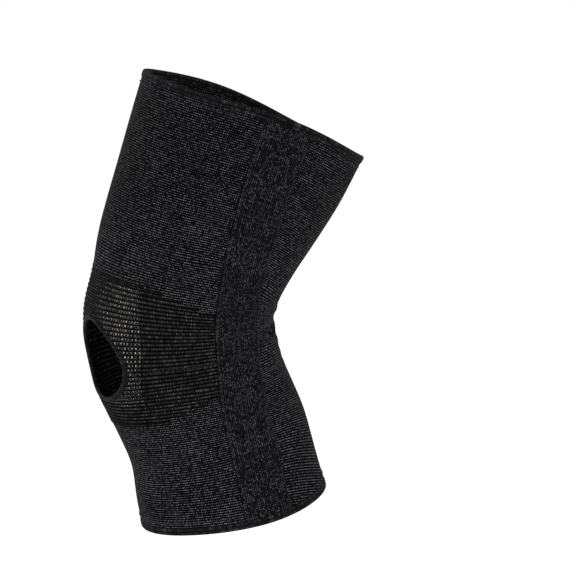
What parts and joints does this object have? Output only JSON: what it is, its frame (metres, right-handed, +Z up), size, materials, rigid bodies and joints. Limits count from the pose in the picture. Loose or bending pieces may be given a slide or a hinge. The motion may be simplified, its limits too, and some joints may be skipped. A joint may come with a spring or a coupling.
{
  "type": "knee sleeve",
  "caption": "Knitted elastic open-patella knee sleeve in its worn, bent form, with turned hems, a bound kneecap opening set in net knit, and stay channels down both sides.",
  "frame": {"origin": "centre of the knee on the leg's axis, at the middle of the bend, where the leg carries the sleeve", "axes": "+Z up the standing figure, -Y out of the front of the knee, +X out of the leg's outer side (left leg)"},
  "size_m": [0.1492, 0.1818, 0.2985],
  "materials": {
    "sleeve_knit": "fine black elastic knit",
    "hem_knit": "turned black knit hem",
    "binding": "smooth black bound edge",
    "channel_knit": "dense black ribbed knit"
  },
  "bodies": {
    "root": {"knit_sleeve": "sleeve_knit", "thigh_hem": "hem_knit", "calf_hem": "hem_knit", "patella_binding": "binding", "lateral_front_channel": "channel_knit", "lateral_rear_channel": "channel_knit", "medial_front_channel": "channel_knit", "medial_rear_channel": "channel_knit"}
  },
  "joints": []
}
